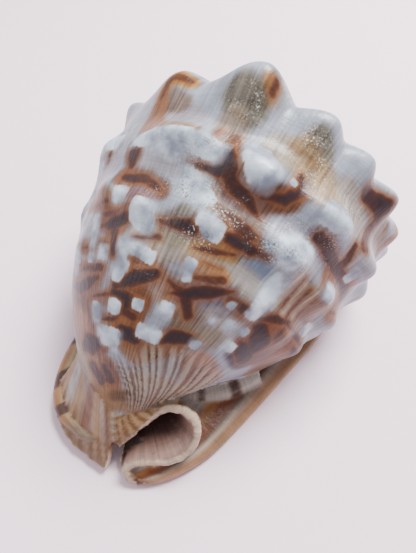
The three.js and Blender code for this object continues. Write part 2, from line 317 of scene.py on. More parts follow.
def canal_place(u, turn):
    outer, inner = spline(canal_rim, u), spline(canal_root, u)
    depth = inner - outer
    tangent = spline(canal_rim, np.minimum(u + 0.004, 1)) - spline(canal_rim, np.maximum(u - 0.004, 0))
    normal = np.cross(tangent, depth)
    normal /= np.linalg.norm(normal, axis=-1, keepdims=True)
    fold = np.abs(2 * turn - 1)  # 1 at the root, 0 on the rim
    deep = np.clip((fold - 0.25) / 0.75, 0, 1)
    rim = np.clip(fold / 0.25, 0, 1)
    side = np.sign(turn - 0.5) * np.sqrt(1 - (1 - rim) ** 2)
    back = (1 - np.sqrt(1 - (1 - rim) ** 2)) * 1.1
    length = np.linalg.norm(depth, axis=-1, keepdims=True)
    points = outer + depth * deep[..., None] - depth / length * back[..., None]
    return points + normal * (side * canal_wall / 2)[..., None] + table_shift, np.stack([u, turn], -1)


canal = drawn_ball("canal", 200, 28, canal_place)
canal_bore = rod(
    "canal_bore", [(19, -68, 26), (14, -59, 14), (7, -56, 10), (-2, -51, 9.5), (-10, -40, 11)], (7, 5))
for piece in (body, lip, shield, old_lip):
    cut(piece, canal_bore)


# Mouth
# The slot between the lip and the shield. Its sides are scalloped by the teeth.

teeth, tooth_reach = 30, 0.55


def mouth_place(u, turn):
    line = spline(mouth_line, u)
    tooth = np.where(line[..., 2] > 2.5, tooth_reach + tooth_reach * np.cos(2 * math.pi * u * teeth), 0)
    c, s = np.cos(2 * math.pi * turn), np.sin(2 * math.pi * turn)
    across, up = np.sign(c) * np.abs(c) ** 0.4, np.sign(s) * np.abs(s) ** 0.4
    points = line.copy()
    points[..., 0] += across * (line[..., 2] - tooth)
    points[..., 2] = 5 + 8 * up
    return points + table_shift, np.stack([u, turn], -1)


mouth = drawn_ball("mouth", 240, 24, mouth_place)


# One shell
# All of it grew together, so the parts are joined and fused into one skin of even
# faces, cut level where it stands on the table, and smoothed.

def select_only(*objects):
    bpy.ops.object.select_all(action="DESELECT")
    for o in objects:
        o.select_set(True)
    bpy.context.view_layer.objects.active = objects[0]


skin_grain = 0.00105  # the width of a face of the skin
select_only(body, lip, shield, old_lip, canal)
bpy.ops.object.join()
shell = bpy.context.object
shell.name = "shell"
fuse = shell.modifiers.new("fuse", "REMESH")
fuse.mode, fuse.voxel_size, fuse.adaptivity = "VOXEL", skin_grain, 0
bpy.ops.object.modifier_apply(modifier="fuse")
slot_cut = shell.modifiers.new("slot", "BOOLEAN")
slot_cut.operation, slot_cut.object, slot_cut.solver = "DIFFERENCE", mouth, "EXACT"
bpy.ops.object.modifier_apply(modifier="slot")
bpy.ops.object.mode_set(mode="EDIT")
bpy.ops.mesh.select_all(action="SELECT")
bpy.ops.mesh.bisect(plane_co=(0, 0, 0), plane_no=(0, 0, 1), use_fill=True, clear_inner=True)
bpy.ops.object.mode_set(mode="OBJECT")
for cutter in (chamber, canal_bore, mouth, *whorls[1:]):
    bpy.data.objects.remove(cutter)
relax = shell.modifiers.new("relax", "SMOOTH")
relax.factor, relax.iterations = 0.5, 3
bpy.ops.object.modifier_apply(modifier="relax")
bpy.ops.object.shade_smooth()

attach(shell, "root")
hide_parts("helmet_shell")


# What each point belongs to
# For every vertex of the fused skin: the part it came from and its place on it, so that
# ribs, spots and wear can follow the growth of the shell.

all_points, all_faces, all_uv, all_part = [], [], [], []
for number, source in enumerate(sources):
    first = sum(len(p) for p in all_points)
    all_points.append(source["points"])
    all_uv.append(source["uv"])
    all_faces += [tuple(first + k for k in face) for face in source["faces"]]
    all_part += [number] * len(source["faces"])
all_points, all_uv = np.vstack(all_points), np.vstack(all_uv)
tree = BVHTree.FromPolygons([Vector(p) for p in all_points], all_faces)
skin = np.empty(len(shell.data.vertices) * 3, np.float32)
shell.data.vertices.foreach_get("co", skin)
skin = skin.reshape(-1, 3).astype(float)
part = np.empty(len(skin), int)
place = np.empty((len(skin), 2))
for k, co in enumerate(skin):
    spot, _, face, gap = tree.find_nearest(Vector(co))
    corners = all_faces[face]
    weights = np.array(poly_3d_calc([Vector(all_points[c]) for c in corners], spot))
    part[k] = all_part[face]
    place[k] = weights @ all_uv[list(corners)]
    if gap < 0.0006 and co[2] > 0.0018:  # the flat base and its edge stay as they are
        skin[k] = spot
shell.data.vertices.foreach_set("co", skin.astype(np.float32).ravel())
shell.data.update()
part_names = [source["name"] for source in sources]


# Spots and streaks
# The coloured layer of the shell: brown streaks with golden rims and purple cores, laid
# down at the growing edge. Each is a line of (angle, place along the profile, half
# width in mm) and the darkness its middle reaches, read off the photograph.

streak_lines = [
    (.35, (124, .294, 1.3), (123, .258, 1.6), (119.5, .243, 1.6), (115, .24, 1.2)),
    (.5, (86.5, .225, 1.4), (86, .248, 1.4)), (.75, (42, .27, 3.2), (33.5, .27, 3.4)),
    (.4, (31, .294, 2.2), (29.5, .36, 2.6)), (.45, (139.5, .39, 1.2), (139.5, .435, 1.3)),
    (.75, (124, .412, 2.2), (122.5, .43, 3.2), (121, .45, 2.0)),
    (.6, (122, .477, 1.6), (112, .475, 2.2), (104.3, .486, 1.5)),
    (1, (92.5, .366, .5), (89.5, .38, 1.7), (87, .405, 2.9)),
    (.62, (87, .405, 2.7), (83, .436, 2.4), (75, .449, 1.8), (69, .463, 1.0)),
    (.5, (43.5, .49, .7), (41.5, .55, .9)), (.5, (38, .5, .8), (36, .56, .9)),
    (.45, (33, .5, .7), (31, .545, .8)), (.95, (88, .425, 2.4), (96.5, .433, 1.0)),
    (.5, (88, .455, .8), (82.5, .477, 1.3), (75, .481, 1.4), (68, .49, 1.3)),
    (.55, (74.5, .49, 1.5), (69, .5, 1.5)),
    (.75, (66, .355, 1.2), (64, .381, 3.0), (66, .412, 1.9), (72.5, .432, .8)),
    (.6, (50, .426, 2.0), (32, .435, 2.8), (13.5, .444, 2.4)), (.5, (33.5, .378, 1.8), (32, .42, 2)),
    (.5, (15.5, .489, 1.1), (6, .471, 1.2)), (.42, (143, .525, .6), (134, .528, 1.0), (126, .522, .8)),
    (.45, (135, .537, .7), (125, .543, 1.0), (118, .535, 1.2)), (.55, (116.6, .531, .5), (110, .52, .8)),
    (.5, (101, .533, .5), (97.5, .531, 1.2)), (.95, (96.5, .531, 1.0), (94, .527, 2.2), (87, .523, 2.6)),
    (.95, (77.5, .511, 1.6), (72, .51, 2.4), (66, .51, 2)), (.35, (66, .509, 1.6), (60, .508, 1.0)),
    (.5, (83.5, .549, .8), (76, .538, 1.4), (70, .528, 1.0)), (.3, (81, .564, .4), (71, .556, .6)),
    (.45, (107, .574, .8), (97, .555, 1.3)), (.36, (79, .592, 1.0), (68.5, .573, 1.6)),
    (.9, (132, .566, .4), (126, .5625, 1.2), (118.5, .556, 3.0), (113, .545, 2.4)),
    (.5, (117, .57, 2.2), (114.5, .603, 1.6)), (.4, (137, .606, .6), (129, .594, .9), (119.5, .591, .9)),
    (.45, (138.5, .642, .6), (131, .636, 1.6), (121, .633, 1.8)),
    (.9, (149, .666, 1.2), (137, .675, 2.6), (128.5, .663, 2.4), (121.5, .65, 1.0)),
    (.38, (103, .605, 1.6), (99, .6, 1.4)), (1, (109.5, .654, 1.8), (101, .633, 3.1), (92.5, .613, 2.0)),
    (.85, (110, .668, 1.4), (102, .675, 3.2), (94.3, .676, 2.3)),
    (.55, (102.5, .694, 2.0), (96, .7, 1.8)), (.35, (126, .69, .6), (110, .673, .8)),
    (.5, (86.5, .615, 1.0), (82, .62, 1.4), (78, .618, 1.1)),
    (.8, (85, .633, .5), (77.5, .62, 2.2), (70, .6, 2.6), (62.5, .578, .8)),
    (.65, (76.5, .63, 2.2), (72.5, .652, 2.0)), (.7, (61.5, .594, 1.6), (54.5, .595, 2.0)),
    (.5, (55, .609, .5), (46.5, .603, .8)), (.75, (46.8, .592, 1.0), (40, .574, 2.2), (33, .564, 1.4)),
    (.75, (42, .607, 3.4), (35, .63, 4.2)), (.95, (41, .652, 3.2), (33, .664, 3.6)),
    (.5, (33, .568, 1.2), (22, .568, 1.6), (9, .576, 1.4)), (.7, (16, .59, 1.4), (9, .6, 2.6)),
    (.42, (119, .729, .8), (107, .717, 1.2), (101, .69, 1.4)),
    (.95, (77.5, .722, 1.4), (72.5, .7, 3.0), (66, .692, 2.6), (61.5, .689, 1.4)),
    (1, (100, .738, 3.2), (93, .737, 3.3)), (.85, (139, .792, 2.4), (130, .786, 4.2), (120, .779, 2.8)),
    (.6, (131, .84, 2.4), (123, .872, 2.6)), (.7, (115, .84, 2.0), (109, .868, 2.4)),
]
white_spots = [
    [(125, .404, 1.8), (114, .401, 3.4), (101, .401, 3.6), (92, .398, 3.2)], [(120.4, .5085, 3.0)],
    [(121.5, .608, 2.2)], [(121, .708, 2.2), (120.5, .722, 2.2)], [(108, .694, 2.6)],
    [(111, .758, 3.2), (107, .755, 3.0)], [(80, .373, 3.6), (76, .4, 4.4)],
    [(81.5, .575, 2.0), (80.5, .597, 1.4)], [(51, .53, 3.4), (50, .56, 3.6), (50.5, .59, 2.4)],
    [(47, .624, 1.8)], [(46.5, .663, 2.0)], [(88, .719, 2.6), (83, .718, 2.6)], [(95.5, .675, 1.9)],
    [(61.5, .695, 1.8)], [(99, .44, 1.4), (92, .46, 3.2), (86, .474, 1.6)],
    [(107, .53, 4.0), (103.5, .545, 2.6)], [(110, .586, 2.0), (98, .59, 2.2)], [(62, .64, 1.2)],
    [(54, .63, 2.0)], [(82.3, .66, 2.4)], [(51, .385, 4.3), (45, .385, 3.6)],
    [(112, .412, 2.6), (104, .415, 3.0)], [(132, .55, 2.0), (130, .592, 1.8)], [(129, .618, 1.8)],
    [(138, .55, 2.2)], [(54, .47, 4.2), (50, .46, 3.2)], [(30, .48, 3.4)], [(18, .545, 3.0)],
    [(85, .506, 2.2), (80.5, .512, 3.2)], [(108, .62, 2.2), (110, .638, 2.0)], [(104, .78, .8)],
    [(58, .475, 3.0), (54, .49, 3.4)], [(109, .6, 1.8)], [(116, .75, 2.2)],
    [(148, .61, 2.4), (140, .62, 1.8)], [(67, .38, 1.4)], [(24, .42, 2.4)], [(60, .6, 1.3)],
]  # islands where the brown stops: [(angle, place, radius in mm), ...]
washes = [
    ("#a9a2a8", .8, (112, .33, 6), (106, .345, 5)), ("#aca6ab", .7, (118, .435, 4), (100, .435, 4)),
    ("#a5a0aa", .7, (140, .6, 7), (128, .6, 6)), ("#a9a3aa", .75, (114, .66, 6), (112, .7, 5)),
    ("#b0a9b0", .6, (144, .56, 6), (136, .5, 5)), ("#9f9894", .8, (66, .55, 7), (58, .56, 6)),
    ("#a39a98", .8, (66, .65, 6), (56, .65, 7)), ("#a29ca6", .6, (60, .46, 6), (40, .46, 6)),
    ("#a49a8a", .8, (96, .58, 4), (86, .56, 4)), ("#a39689", .7, (76, .33, 6), (60, .34, 7)),
    ("#a89c94", .7, (50, .32, 6), (40, .34, 6)), ("#a59ba0", .6, (30, .4, 6), (20, .4, 6)),
    ("#b5935c", .95, (124, .29, 2.6), (123, .258, 2.8), (119.5, .243, 2.6), (115, .24, 2.4)),
    ("#85736d", .8, (118, .3, 4), (114, .305, 4)),
    ("#9c7862", .9, (123, .315, 4), (121.5, .36, 5), (117, .38, 4)),
    ("#b48a4e", .8, (87.5, .24, 2.2), (87, .262, 1.8)), ("#7e7870", .95, (95, .275, 5), (89, .29, 5)),
    ("#9b8c83", .8, (93, .33, 5), (90, .345, 4)), ("#99684c", .85, (93, .36, 2.6), (89, .365, 2.6)),
    ("#88837a", .9, (68, .275, 4), (64, .29, 4.5)), ("#a08b74", .8, (70, .31, 5), (64, .33, 5)),
    ("#ab9784", .6, (60, .33, 6), (56, .36, 5)), ("#7b5f5a", .9, (123.5, .42, 4.4), (122, .435, 3.6)),
    ("#c3a070", .7, (121, .403, 1.8), (119, .407, 1.6)),
    ("#8f7069", .95, (122, .477, 4.4), (112, .49, 6), (104, .487, 3.2)),
    ("#93808a", .7, (112, .505, 3.6), (107, .503, 3)), ("#a48672", .8, (138, .516, 4), (127, .52, 4)),
    ("#a06a35", .9, (143, .524, 1.4), (126, .535, 1.6), (117, .538, 2)),
    ("#7d5d50", .9, (90.5, .37, 4), (88, .41, 5.4), (80, .44, 5), (72, .436, 4), (64.5, .408, 3.6),
      (64, .37, 2.8)),
    ("#c5c3b4", .8, (92, .456, 3.4), (88, .462, 2.4)), ("#9b8466", .9, (83, .546, 1.8), (71, .528, 2.8)),
    ("#8a8478", .8, (92, .51, 3), (91, .545, 4)), ("#8390a0", .9, (67, .507, 4), (55, .512, 5)),
    ("#a9b3bd", .8, (58, .49, 4), (50, .5, 5)), ("#7f8996", .8, (95, .526, 2.4), (88, .523, 3.2)),
    ("#7a5648", .8, (76, .5, 4.4), (68, .505, 3.8)),
    ("#8a6a5a", .9, (115, .545, 3.4), (115, .57, 3.2), (115.5, .6, 3)),
    ("#a8845f", .85, (135, .604, 1.6), (118, .585, 1.8)),
    ("#9b7560", .95, (137, .638, 1.8), (121, .634, 3.2)),
    ("#90705f", .95, (145, .675, 3), (130, .68, 5), (124, .66, 4)),
    ("#84625a", .95, (138, .7, 5), (132, .73, 6), (128, .735, 5)),
    ("#947060", .8, (146, .72, 7), (144, .75, 7)),
    ("#7d5f62", .98, (142, .78, 5), (132, .785, 7), (121, .777, 5.4)),
    ("#8f6238", .8, (120, .77, 3.6), (117, .775, 3.2)), ("#a08070", .9, (102, .61, 3.2), (97, .605, 3)),
    ("#84604c", .9, (106, .66, 4), (96, .66, 5)), ("#8c6a50", .9, (104, .7, 4), (97, .7, 4.4)),
    ("#a08878", .7, (124, .69, 1.6), (106, .682, 1.8)),
    ("#9a8064", .7, (119, .73, 1.6), (104, .722, 2.4)), ("#b09070", .85, (77, .575, 3.4), (70, .57, 3)),
    ("#8a6654", .9, (81, .63, 3.6), (76, .64, 4.4)), ("#6d4a3d", .9, (75, .645, 4.4), (72, .66, 4.4)),
    ("#94887c", .7, (70, .66, 6), (62, .67, 7)),
    ("#73717f", .95, (76, .61, 3), (69.7, .6, 4.4), (63.5, .59, 3.2)),
    ("#907164", .85, (42, .52, 6), (36, .535, 8)),
    ("#7a6468", .95, (45, .585, 3), (39.5, .573, 4.4), (34, .565, 4)),
    ("#93716a", .95, (40, .62, 7), (28, .62, 9)), ("#6f4f50", .9, (41, .625, 5), (34, .64, 7)),
    ("#5c4a58", .9, (40, .664, 4.4), (32, .668, 5.4)), ("#a4836c", .8, (26, .58, 5), (14, .6, 6)),
    ("#a9824f", .85, (27, .576, 1.6), (12, .566, 1.8)), ("#9a7058", .8, (22, .62, 7), (4, .66, 8)),
    ("#8e6a52", .9, (34, .45, 4), (29, .51, 5)), ("#a17254", .8, (22, .44, 5), (14, .48, 6)),
    ("#8f735f", .8, (23, .27, 4), (18, .33, 5)), ("#a58252", .85, (14, .22, 3), (10, .25, 3)),
    ("#8a6046", .9, (13, .28, 3.6), (11, .32, 4)), ("#98705a", .9, (113, .83, 4), (108, .86, 4)),
    ("#a5703f", .9, (128, .845, 4), (122, .86, 4)), ("#6d5a58", .8, (112.5, .838, 2.8), (109, .86, 3)),
    ("#a07a5c", .9, (124, .885, 5), (112, .895, 5)),
    ("#997552", .8, (106, .745, 3), (88, .775, 4), (70, .725, 3)),
    ("#a98a80", .9, (52, .73, 6), (40, .76, 8)), ("#b3a08e", .7, (70, .86, 8), (45, .85, 8)),
    ("#9c7f63", .9, (110, .93, 5), (80, .93, 5), (40, .93, 6)),
    ("#6f5a45", .7, (104, .915, 1.6), (70, .905, 1.6)),
]  # soft washes, one over the other: (colour, strength, (angle, place, reach in mm), ...)
last_washes = [
    ("#7a5546", .7, (40, .6, 7), (30, .64, 8)), ("#80583f", .75, (22, .6, 6), (8, .64, 7)),
    ("#8b6244", .8, (31, .44, 4), (25, .52, 5)), ("#7c5a48", .7, (136, .72, 6), (130, .76, 6)),
    ("#7f5c48", .7, (126, .54, 4), (120, .56, 3)), ("#8a6548", .75, (134, .6, 3), (122, .6, 2.4)),
    ("#a47a4c", .6, (92, .61, 3), (86, .64, 3)), ("#a0784e", .6, (112, .68, 3), (104, .72, 3)),
    ("#c6bba8", .75, (46.5, .49, .9), (44.5, .56, 1.1)), ("#c6bba8", .7, (40.7, .5, .8), (39, .56, 1.0)),
    ("#bdb09c", .7, (35.5, .5, .8), (33.5, .55, .9)), ("#8e8288", .4, (92, .6, 8), (70, .62, 9)),
    ("#8d8187", .35, (128, .62, 8), (112, .68, 7)), ("#84766f", .35, (48, .52, 8), (20, .52, 10)),
    ("#7e8494", .3, (92, .42, 6), (76, .46, 7)),
    ("#9f8468", .8, (123, .382, 1.1), (112, .376, 1.3), (100, .376, 1.2)),
]  # laid over the others in their own colours
chalk_spots = [
    (1, (99, .47, 4), (86, .48, 6), (76, .485, 4)), (.9, (90, .455, 4), (77, .463, 5)),
    (.8, (95, .28, 6), (88, .29, 6)), (.8, (70, .275, 5), (62, .29, 6)),
    (.7, (96, .53, 5), (80, .53, 6)), (.8, (66, .5, 6), (50, .49, 7)), (.6, (99, .61, 4), (96, .62, 3)),
    (.5, (60, .44, 6), (40, .43, 8)), (.5, (66, .34, 8), (40, .34, 8)), (.4, (106, .5, 6), (90, .36, 8)),
]  # where the glaze is worn off: (strength, (angle, place, reach in mm), ...)
profile_steps = np.linspace(0, 1, 400)
profile_points = spline(whorl_profile, profile_steps, 0)
profile_length = np.concatenate([[0], np.cumsum(np.linalg.norm(np.diff(profile_points, axis=0), axis=1))])


def length_at(t):
    return np.interp(t, profile_steps, profile_length)


def radius_at(t):
    return np.interp(t, profile_steps, profile_points[:, 1])


def depth_in(line, all_angles, all_t, power=2):
    """How far inside one stroke each point lies, in mm, and its half width there; power 4 squares it."""
    everywhere, widths = np.full(len(all_angles), -99.0), np.ones(len(all_angles))
    near = (all_angles > min(x for x, _, _ in line) - 25) & (all_angles < max(x for x, _, _ in line) + 25)
    angle, t = all_angles[near], all_t[near]
    deepest, width = np.full(len(angle), -99.0), np.ones(len(angle))
    for (a0, t0, w0), (a1, t1, w1) in zip(line, line[1:]):
        radius = radius_at((t0 + t1) / 2)
        x, y = np.radians(angle - a0) * radius, length_at(t) - length_at(t0)
        dx, dy = math.radians(a1 - a0) * radius, length_at(t1) - length_at(t0)
        u = np.clip((x * dx + y * dy) / (dx * dx + dy * dy), 0, 1)
        half = w0 + (w1 - w0) * u
        inside = half - (np.abs(x - dx * u) ** power + np.abs(y - dy * u) ** power) ** (1 / power)
        width = np.where(inside > deepest, half, width)
        deepest = np.maximum(deepest, inside)
    everywhere[near], widths[near] = deepest, width
    return everywhere, widths


def carried_round(strokes, turn, low, high):
    """The strokes between two angles once more, further round the whorl and a little displaced."""
    moved = []
    for k, stroke in enumerate(strokes):
        head = [value for value in stroke if not isinstance(value, tuple)]
        line = [value for value in stroke if isinstance(value, tuple)]
        if low < line[0][0] < high:
            on, up = turn + 3 * math.sin(2.4 * k), 0.012 * math.sin(1.7 * k)
            moved.append((*head, *((x + on, y + up, w) for x, y, w in line)))
    return moved


def all_round(strokes):
    """Adds the sides that the photograph doesn't show: behind the lip and under the right side."""
    return strokes + carried_round(strokes, 97, 50, 138) + carried_round(strokes, -130, 5, 128)


chance = np.random.default_rng(11)
flames = []  # the brown rays between the knobs of the spire
for start in np.arange(-122, 236, 15.0):
    at, half, lean = start + chance.uniform(-3, 3), chance.uniform(0.9, 2.2), chance.uniform(-5, 5)
    dark = chance.uniform(0.35, 0.9)
    flames.append((dark, (at, 0.03, 0.5), (at + lean / 2, 0.1, half), (at + lean, 0.165, half * 0.6)))


def deepest_of(strokes, angle, t, rim):
    """Depth in the nearest stroke as a share of rim, up to each stroke's own darkness."""
    deepest = np.full(len(angle), -1.0)
    for dark, *line in strokes:
        deepest = np.maximum(deepest, np.minimum(depth_in(line, angle, t)[0] / rim, dark))
    return deepest


def warmed(colour):
    """A brown wash made a little warmer, because the pale room cools it. Greys stay as they are."""
    r, g, b = (int(colour[k:k + 2], 16) for k in (1, 3, 5))
    share = min(1.0, (r - b) / 40) if r > b * 1.04 else 0.0
    return f"#{round(r - 3 * share):02x}{round(g - 7 * share):02x}{round(b - 18 * share):02x}"


def linear(hex_value):
    """An sRGB hex colour as linear RGBA."""
    channels = [int(hex_value[k:k + 2], 16) / 255 for k in (1, 3, 5)]
    return [c / 12.92 if c <= 0.04045 else ((c + 0.055) / 1.055) ** 2.4 for c in channels] + [1.0]


def wash(ground, colour, strength):
    return ground + (np.array(linear(colour)[:3]) - ground) * np.asarray(strength)[:, None]


angle, along = place[:, 0], place[:, 1]
on_body = np.isin(part, [part_names.index(f"whorl_{turn}") for turn in range(4)])
a, t = angle[on_body], along[on_body]
stain, white = np.full(len(skin), -1.0), np.full(len(skin), -9.0)
brownness, chalk = np.zeros(len(skin)), np.zeros(len(skin))
ground = np.tile(linear("#a9adb6")[:3], (len(skin), 1))
all_streaks = all_round(streak_lines) + flames
stain[on_body] = deepest_of(all_streaks, a, t, 2.0)
blocks = [line if len(line) > 1 else [line[0], (line[0][0] + 0.01, *line[0][1:])] for line in white_spots]
white[on_body] = np.max([depth_in(line, a, t, 4)[0] for line in all_round(blocks)], 0)
body_ground, brown_here = ground[on_body], np.zeros(len(a))
halos = [("#957d64" if dark < 0.6 else "#785844", 0.3 + 0.4 * dark, *((x, y, w + 2.0) for x, y, w in line))
         for dark, *line in all_streaks]
all_washes = [(warmed(colour), *rest) for colour, *rest in washes] + last_washes
for colour, strength, *line in halos + all_round(all_washes):
    inside, reach = depth_in(line, a, t)
    share = strength * smoothstep(inside, -1.4, 0.35 * reach)
    body_ground = wash(body_ground, colour, share)
    is_brown = linear(colour)[0] > 1.35 * linear(colour)[2]
    brown_here += is_brown * share * (1 - brown_here)
ground[on_body], brownness[on_body] = body_ground, brown_here
for strength, *line in all_round(chalk_spots):
    inside, reach = depth_in(line, a, t)
    chalk[on_body] = np.maximum(chalk[on_body], strength * smoothstep(inside / reach, 0, 0.8))


def paint(name, colour_at):
    """Colours one part of the shell by its own two measures and its height above the table."""
    here = part == part_names.index(name)
    u, v, z = place[here, 0], place[here, 1], skin[here, 2] * 1000
    colours = np.tile(linear("#ccd1d6")[:3], (int(here.sum()), 1))
    for colour, share in colour_at(u, v, z):
        colours = wash(colours, colour, np.clip(share, 0, 1))
    ground[here] = colours


def band(x, low, high, soft):
    return smoothstep(x, low - soft, low + soft) * (1 - smoothstep(x, high - soft, high + soft))


def lip_colours(u, v, z):
    bars = smoothstep(np.cos(2 * math.pi * (u * 8.5 + 0.12)), 0.1, 0.5) * smoothstep(u, 0.16, 0.2)
    yield "#ac8459", np.ones(len(u))
    yield "#c6b498", band(v, 0.6, 0.85, 0.1)
    yield "#6a4a3c", bars * smoothstep(v, 0.35, 0.6) * smoothstep(z, 1.5, 3)
    yield "#8f8072", 0.8 * (1 - smoothstep(u, 0.1, 0.2))
    yield "#cf9f7c", 1 - smoothstep(z, 0.5, 2.5)
    yield "#eadfd2", (1 - smoothstep(v, 0.12, 0.3)) * (1 - smoothstep(z, 1, 9))


def shield_colours(u, v, z):
    yield "#c2bbb1", np.ones(len(u))
    yield "#b58a5c", band(v, 0.7, 0.82, 0.04)
    yield "#93603a", band(v, 0.78, 0.87, 0.035)
    yield "#77503a", 0.8 * band(v, 0.85, 0.89, 0.03)
    yield "#b39478", smoothstep(v, 0.88, 0.96)
    yield "#6a4632", 0.9 * (1 - smoothstep(u, 0.07, 0.17)) * smoothstep(z, 1, 3)
    yield "#d09f7a", 1 - smoothstep(z, 0.5, 2.5)
    yield "#eadfd2", (1 - smoothstep(v, 0.15, 0.35)) * (1 - smoothstep(z, 1, 9))
    yield "#574239", (1 - smoothstep(u, 0.25, 0.31)) * smoothstep(z, 3, 5) * (1 - smoothstep(v, 0.5, 0.7))


def canal_colours(u, v, z):
    fold = np.abs(2 * v - 1)
    inner = 1 - smoothstep(v, 0.46, 0.54)
    outer, left = 1 - inner, 1 - smoothstep(u, 0.24, 0.32)
    stripes = smoothstep(np.cos(2 * math.pi * (u * 36 + fold)), -0.3, 0.7)
    yield "#ad9377", outer
    pale = smoothstep(np.cos(2 * math.pi * (u * 13 + 0.4 * fold)), -0.4, 0.7)
    bars = band(u, 0.115, 0.15, 0.012) + band(u, 0.2, 0.235, 0.015)
    yield "#bdb6b4", outer * left * smoothstep(fold, 0.4, 0.6) * pale
    yield "#8c6a52", outer * bars * smoothstep(fold, 0.35, 0.55)
    yield "#7d5b38", 0.75 * outer * stripes * (1 - left * smoothstep(fold, 0.45, 0.6))
    yield "#94806c", 0.6 * outer * band(fold, 0.24, 0.34, 0.04)
    yield "#a68e84", inner
    # Painted shade: the inside darkens towards the root of the fold, deep in the canal.
    yield "#7d6660", inner * smoothstep(fold, 0.3, 0.7)
    yield "#ccb9a8", 1 - smoothstep(fold, 0.16, 0.26)


paint("lip", lip_colours)
paint("shield", shield_colours)
paint("canal", canal_colours)
paint("old_lip", lambda u, v, z: [
    ("#bfb8ae", np.ones(len(u))),
    ("#5f4136", 0.9 * band(u, 0.7, 0.79, 0.025) + 0.7 * band(u, 0.34, 0.42, 0.025))])
paint("chamber", lambda u, v, z: [("#cdb09a", np.ones(len(u)))])
paint("canal_bore", lambda u, v, z: [("#8d746c", np.ones(len(u)))])
paint("mouth", lambda u, v, z: [("#e4d6c6", np.ones(len(u))), ("#b07f62", smoothstep(z, 6, 12))])

# The ribs fan out over the front of the last whorl, one for about every 6.5 degrees.
rib_spacing, rib_height, island_height, crust_height = 6.5, 0.0004, 0.0003, 0.0004
from_start = t - 0.7
fan = (a + 39.4 * from_start) / (1 - 1.08 * from_start)
rib_start = 0.7 + 0.08 * smoothstep(fan, 80, 108)
rib_here = band(fan, 26, 122, 4) * smoothstep(t, rib_start, rib_start + 0.05)
rib_here *= 1 - smoothstep(t, 0.93, 0.99)
ribs, rib_phase = np.zeros(len(skin)), np.zeros(len(skin))
ribs[on_body] = rib_here
rib_phase[on_body] = fan / rib_spacing + 0.16 * np.sin(fan * 0.37) + 0.1 * np.sin(fan * 0.83 + 1)
normals = np.empty(len(skin) * 3, np.float32)
shell.data.vertices.foreach_get("normal", normals)
height = rib_height * ribs * np.sin(2 * math.pi * rib_phase)
raised = island_height * smoothstep(white, -1.0, 2.5) * on_body * smoothstep(along, 0.47, 0.52)
lumps = sum(np.sin(skin @ np.array(direction) * 1000 + k) for k, direction in enumerate((
    (1.7, 0.6, 0.3), (-0.5, 1.9, 0.4), (0.4, -0.3, 1.6), (1.1, 1.2, -0.9), (-1.3, 0.5, 1.4)))) / 5
crust = crust_height * (part == part_names.index("canal")) * (0.4 + 0.6 * (np.abs(2 * along - 1) < 0.3))
crust += crust_height * ((part == part_names.index("lip")) * (angle < 0.12) + chalk / 2)
skin += normals.reshape(-1, 3) * (height + raised + crust * lumps * (skin[:, 2] > 0.0018))[:, None]
shell.data.vertices.foreach_set("co", skin.astype(np.float32).ravel())
shell.data.update()


def keep_on_skin(name, values):
    """Stores one number or vector for every vertex, for the material to read."""
    kind = "FLOAT" if values.ndim == 1 else "FLOAT_VECTOR"
    layer = shell.data.attributes.new(name, kind, "POINT")
    layer.data.foreach_set("value" if values.ndim == 1 else "vector", values.astype(np.float32).ravel())


run_and_width = {  # mm across and along each part
    "lip": (24, 135), "shield": (26, 140), "canal": (130, 30), "old_lip": (40, 12)}
rind = np.column_stack([np.radians(angle) * 45, length_at(along), 10.0 * part])
for name, (across, run) in run_and_width.items():
    here = part == part_names.index(name)
    first, second = (angle, along) if name in ("canal", "old_lip") else (along, angle)
    rind[here, 0], rind[here, 1] = first[here] * across, second[here] * run
keep_on_skin("rind", rind)
keep_on_skin("ground", ground)
keep_on_skin("marks", np.column_stack([stain, white, brownness]))
keep_on_skin("wear", np.column_stack([chalk, ribs, rib_phase]))


# Floor
# Pale pinkish paper, smooth and matt.

def add(tree, kind, inputs=None, stops=None, **settings):
    """Adds a node with its settings; an input is a value or another node's output."""
    new = tree.nodes.new(kind)
    for key, value in settings.items():
        setattr(new, key, value)
    for key, value in (inputs or {}).items():
        if isinstance(value, bpy.types.NodeSocket):
            tree.links.new(value, new.inputs[key])
        else:
            new.inputs[key].default_value = value
    for k, (place, colour) in enumerate(stops or []):
        element = new.color_ramp.elements[k] if k < 2 else new.color_ramp.elements.new(place)
        element.position, element.color = place, linear(colour)
    return new


bpy.ops.mesh.primitive_grid_add(x_subdivisions=2, y_subdivisions=2, size=4, location=(0, 0, -0.0001))
floor = bpy.context.object
floor.name = "floor"
paper = bpy.data.materials.new("matt_pink_paper")
paper.use_nodes = True
tree = paper.node_tree
surface = tree.nodes["Principled BSDF"]
surface.inputs["Base Color"].default_value = linear("#edd9e4")
surface.inputs["Roughness"].default_value = 0.75
floor.data.materials.append(paper)


# Shell material
# Polished shell: porcelain-like aragonite, bluish white where bare, with brown streaks
# under a thin glaze. Smooth and softly glossy, chalkier and rougher on the worn knobs.

shell_stuff = bpy.data.materials.new("weathered_porcelain_shell")
shell_stuff.use_nodes = True
tree = shell_stuff.node_tree
surface = tree.nodes["Principled BSDF"]
shell.data.materials.clear()
shell.data.materials.append(shell_stuff)
rind = add(tree, "ShaderNodeAttribute", attribute_name="rind")
ground = add(tree, "ShaderNodeAttribute", attribute_name="ground")
marks = add(tree, "ShaderNodeAttribute", attribute_name="marks")
mark = add(tree, "ShaderNodeSeparateXYZ", {0: marks.outputs["Vector"]})
wear = add(tree, "ShaderNodeAttribute", attribute_name="wear")
worn = add(tree, "ShaderNodeSeparateXYZ", {0: wear.outputs["Vector"]})
where = add(tree, "ShaderNodeTexCoord")


at = where.outputs["Object"]
